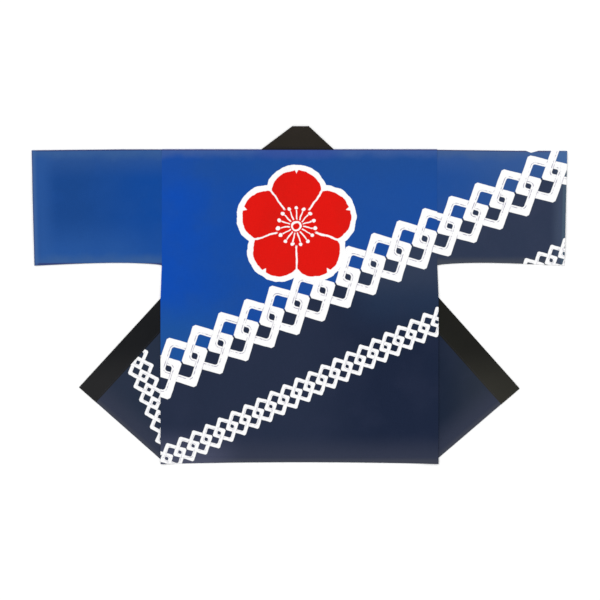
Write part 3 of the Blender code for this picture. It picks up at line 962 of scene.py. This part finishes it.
    def cloth(self, colour, wrong_side=False, depth=1, rough=0.88):
        """Finishes the material as a plain-woven cotton with this colour, paler on its wrong side."""
        if wrong_side:
            colour = self.mix(0.3, colour, (120, 132, 160))
        warp = (self.x + self.wander(7, 1, 51, 0.35, (0.35, 6))) * (pi / WEAVE_PITCH)
        weft = (self.y + self.wander(7, 1, 57, 0.35, (6, 0.35))) * (pi / WEAVE_PITCH)
        weave = warp.make("SINE") * weft.make("SINE") * 0.5
        slub = self.noise(2.2, 2, 61, (0.5, 9)) + self.noise(2.2, 2, 67, (9, 0.5))
        height = {"Height": weave + slub * 0.55, "Strength": 0.8, "Distance": 0.00016 * depth}
        fleck = (slub * 0.5 - 0.5) * 0.30 + weave * 0.11 + 1
        toned = add_node(self.tree, "VectorMath", {0: colour, "Scale": fleck}, operation="SCALE")
        looks = {
            "Base Color": toned.outputs[0],
            "Normal": add_node(self.tree, "Bump", height).outputs[0],
            "Roughness": self.noise(14, 3, 71) * 0.12 + (rough - 0.06),
            "Specular IOR Level": 0.05,
            "Sheen Weight": 0.05,
            "Sheen Roughness": 0.45,
            "Sheen Tint": (0.75, 0.82, 1, 1),
        }
        feed(self.shader, looks)
        return self.material

    def blue(self):
        """The blue ground: richest at the coat's left, duller towards its right."""
        colour = self.mix(self.x.step(-320, -150), (12, 74, 174), (20, 74, 160))
        colour = self.mix(self.x.step(-150, 120), colour, (26, 76, 155))
        return self.clouded(colour, (32, 78, 150), 0.35)

    def navy(self):
        """The navy ground, bluer at the right of the body's middle."""
        colour = self.over(
            self.mix(self.x.step(-20, 200), (37, 46, 68), (27, 37, 60)),
            (self.y.step(-470, -350) * self.x.step(60, 200), (35, 50, 76)),
            (self.y.step(-375, -285) * self.x.step(40, 200), (49, 60, 83)),
        )
        return self.clouded(colour, (43, 50, 73), 0.22)

    def edge_highlight_and_shade(self, colour, distance, highlight_colour, shade_colour):
        """Painted highlight: paler where the cloth rolls over at an edge, to an uneven depth, with a thin
        painted shade line right at it.
        """
        uneven = distance + self.wander(48, 2, 83, 26)
        roll_highlight = (uneven.step(30, 2) * 0.9, highlight_colour)
        return self.over(colour, roll_highlight, (distance.step(4.2, 1.6) * 0.7, shade_colour))

    def greyer_towards_hem(self, colour, up):
        """Greyer towards a hem, by how far up from it a place is."""
        greyer = (up.step(73, 8) * 0.78, (54, 59, 77))
        return self.over(colour, greyer, (up.step(13, 2) * 0.6, (69, 72, 82)))


def back_colour(paint):
    x, y = paint.x, paint.y
    cover, line, above = paint.chain(BIG, BIG_RUN)
    blue = paint.over(
        paint.blue(),
        ((-y).step(120, 30) * 0.4, (34, 76, 138)),
        (y.step(-335, -450) * x.step(-110, -260) * 0.85, (30, 82, 150)),
    )
    # painted highlight where the cloth rolls over at the shoulder's fold, with a thin painted shade line
    # along it
    blue = paint.edge_highlight_and_shade(blue, -y, (62, 93, 154), (58, 52, 104))
    near_neck = abs(x + 6).step(125, 60) * (-y).step(30, 12)
    blue = paint.mix(near_neck * 0.6, blue, (48, 74, 152))
    above_hem = y - HEM_MIDDLE
    left_corner = x.step(-120, -240) * above_hem.step(95, 10)
    navy = paint.mix(left_corner * 0.45, paint.greyer_towards_hem(paint.navy(), above_hem), (88, 92, 118))
    colour = paint.printed(paint.mix(above, navy, blue), cover, line)
    colour = paint.with_chain(colour, SMALL, SMALL_RUN, 1 - above)
    white, red = paint.blossom(BLOSSOM_AT, BLOSSOM_REACH)
    return paint.over(colour, (white, WHITE), (red, paint.clouded((224, 21, 14), (214, 24, 16), 0.7)))


def front_colour(paint):
    """The fronts' right sides face the floor. They carry the large run too, above the navy."""
    cover, line, above = paint.chain(BIG, BIG_RUN)
    return paint.printed(paint.mix(above, paint.navy(), paint.blue()), cover, line)


def flap_colour(paint, layout):
    out = abs(paint.x)
    chained = layout.side.sign < 0
    if chained:
        base = paint.mix(out.step(500, 350), (40, 49, 66), (38, 48, 67))
    else:
        base = paint.mix(out.step(450, 335), (42, 49, 62), (27, 37, 56))
    colour = paint.clouded(base, (47, 53, 74), 0.2)
    colour = paint.greyer_towards_hem(colour, paint.inside(layout.flap_hem, layout.side.sign))
    return paint.with_chain(colour, SMALL_FLAP, SMALL_FLAP_RUN) if chained else colour


def left_sleeve_colour(paint, from_top, to_cuff):
    x, y = paint.x, paint.y
    low_band = y.step(-150, -262) * (x.step(-345, -440) * 0.5 + 0.5)
    base = paint.over(
        paint.mix(x.step(-540, -340), (24, 70, 138), (15, 71, 152)),
        (low_band * 0.8, (40, 87, 158)),
        (y.step(-78, -12) * 0.65, (48, 86, 147)),
    )
    base = paint.clouded(base, (28, 76, 150), 0.4)
    base = paint.mix(to_cuff.step(64, 16) * 0.7, base, (43, 87, 154))
    edge = from_top.least(y - CUFF_LOW - 2)
    return paint.over(
        # painted highlight where the cloth rolls over at the sleeve's upper and lower edges, with a thin
        # painted shade line at each
        paint.edge_highlight_and_shade(base, edge, (56, 93, 148), (50, 50, 100)),
        (to_cuff.step(14, 3) * 0.7, (66, 102, 156)),
        (to_cuff.step(3.6, 1.4) * 0.55, (60, 66, 104)),
    )


def right_sleeve_colour(paint, from_top, to_cuff):
    x, y = paint.x, paint.y
    cover, line, above = paint.chain(BIG_SLEEVE, BIG_SLEEVE_RUN)
    blue = paint.mix(x.step(340, 560), (31, 77, 150), (50, 86, 144))
    blue = paint.clouded(blue, (46, 82, 148), 0.4)
    blue = paint.mix(y.step(-78, -12) * 0.45, blue, (58, 92, 152))
    # painted highlight where the cloth rolls over at the sleeve's upper edge, with a thin painted shade line
    # along it
    blue = paint.edge_highlight_and_shade(blue, from_top, (68, 96, 144), (62, 56, 94))
    blue = paint.mix(to_cuff.step(60, 10) * 0.7, blue, (72, 108, 158))
    navy = paint.over(
        paint.clouded((46, 56, 79), (53, 61, 84), 0.4),
        ((y - CUFF_LOW).step(24, 5) * 0.7, (72, 77, 86)),
        (to_cuff.step(40, 12) * 0.7, (67, 79, 101)),
        (to_cuff.step(10, 6) * 0.7, (74, 94, 112)),
    )
    colour = paint.printed(paint.mix(above, navy, blue), cover, line)
    at_cuff = (y - x * 0.5).step(-470, -486)
    colour = paint.with_chain(colour, SMALL, SMALL_SLEEVE_RUN, at_cuff)
    tip_x, tip_y = x - LINK_TIP[0], y - LINK_TIP[1]
    tip = (tip_y + tip_x * 0.385).least(tip_y - tip_x * 0.263)
    return paint.mix(tip.step(0, 1.4), colour, WHITE)


def sleeve_colour(paint, side):
    out = paint.x * side.sign
    to_cuff = paint.y * (1 / UNDERARM[1]) * (side.cuff[1] - side.cuff[0]) + side.cuff[0] - out
    share = (out - SHOULDER_OUT) * (1 / (side.cuff[0] - SHOULDER_OUT))
    from_top = share * (side.sleeve_top[1] - side.sleeve_top[0]) - paint.y + (side.sleeve_top[0] + 0.4)
    colour_of = left_sleeve_colour if side.sign < 0 else right_sleeve_colour
    return colour_of(paint, from_top, to_cuff)


def collar_material(name):
    """Black, greyer towards the flaps' hems, and browner inside the neck, with a painted shade line at its
    base where it meets the body.
    """
    paint = Painter(name)
    y = paint.y
    right = paint.x.step(-50, 50)
    upper = paint.mix(right, (25, 26, 28), (30, 30, 27))
    lower = paint.mix(right, (39, 39, 40), (49, 48, 43))
    colour = paint.mix((y + right * 15).step(-450, -570), upper, lower)
    colour = paint.clouded(colour, paint.mix(right, (36, 37, 38), (37, 37, 32)), 0.3)
    colour = paint.over(
        colour,
        (y.step(-10, 5), paint.clouded((42, 38, 33), (50, 44, 40), 0.5)),
        # painted shade: a dark line along the nape's base, where the collar meets the body
        (abs(y - 1).step(8, 0) * 0.6, (25, 25, 27)),
    )
    return paint.cloth(colour, depth=1.25, rough=0.9)


def thread_material(name, colour):
    paint = Painter(name)
    twist = ((paint.x + paint.y) * (pi / 0.35)).make("SINE") * 0.5 + 0.5
    tone = paint.mix(twist * 0.5, colour, (70, 78, 110))
    feed(paint.shader, {"Base Color": tone, "Roughness": 0.6, "Specular IOR Level": 0.25})
    return paint.material


def both_sides(name, colour_of, *about):
    """The material of a cloth's right side, and the one of its wrong side."""
    made = []
    for end in ("cloth", "inside"):
        paint = Painter(f"{name}_{end}")
        made.append(paint.cloth(colour_of(paint, *about), wrong_side=end == "inside"))
    return made


# ---- the coat

body_materials = both_sides("back", back_colour) + both_sides("front", front_colour)
for layout in LAYOUTS:
    body_materials += both_sides(f"flap_{layout.side.name}", flap_colour, layout)
body = add_body(body_materials)
black = collar_material("collar_cloth")
collar = add_collar([black, black])
sleeves = [add_sleeve(side, both_sides(f"sleeve_{side.name}", sleeve_colour, side)) for side in SIDES]
hem_thread = add_stitches("stitches_hem", hem_runs(), thread_material("thread_navy", (34, 42, 70)))
cuff_thread = add_stitches("stitches_cuff", cuff_runs(), thread_material("thread_blue", (36, 60, 120)))
collar_thread = add_stitches("stitches_collar", collar_runs(), thread_material("thread_black", (30, 30, 31)))

for piece in (body, collar, *sleeves, hem_thread, cuff_thread, collar_thread):
    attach(piece, "root")
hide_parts("body")
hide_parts("collar")
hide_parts("sleeve_left")
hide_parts("sleeve_right")

# ---- floor, lights and camera, in metres

FLOOR_HALF = 60
FLOOR_HEIGHT = -0.0004
LENS, SENSOR = 85, 36
FRAME_WIDTH = 1.44  # what the square frame takes in at the coat
FRAME_MIDDLE = Vector((1.17, -361.4))  # in the coat's own plane

floor_mesh = bpy.data.meshes.new("floor")
corners = [(FLOOR_HALF * x, FLOOR_HALF * y, FLOOR_HEIGHT) for x, y in ((-1, -1), (1, -1), (1, 1), (-1, 1))]
floor_mesh.from_pydata(corners, [], [[0, 1, 2, 3]])
floor_material = bpy.data.materials.new("floor")
floor_material.use_nodes = True
shader = floor_material.node_tree.nodes["Principled BSDF"]
feed(shader, {"Base Color": (0.93, 0.93, 0.93, 1), "Roughness": 0.9, "Specular IOR Level": 0.1})
floor_mesh.materials.append(floor_material)
add_object("floor", floor_mesh)

world = bpy.data.worlds.new("studio")
world.use_nodes = True
feed(world.node_tree.nodes["Background"], {"Color": (1, 1, 1, 1), "Strength": 0.86})
bpy.context.scene.world = world

key_light = bpy.data.lights.new("key", "SUN")
key_light.energy = 1.15
key_light.angle = radians(22)
key = add_object("key", key_light)
key.rotation_euler = Vector((0.55, -0.55, -1)).to_track_quat("-Z", "Y").to_euler()

camera_lens = bpy.data.cameras.new("camera")
camera_lens.lens = LENS
camera_lens.sensor_width = SENSOR
camera = add_object("camera", camera_lens)
middle = (FRAME_MIDDLE + SHIFT) / 1000
camera.location = (middle.x, middle.y, FRAME_WIDTH * LENS / SENSOR)
bpy.context.scene.camera = camera
bpy.context.scene.view_settings.view_transform = "Standard"
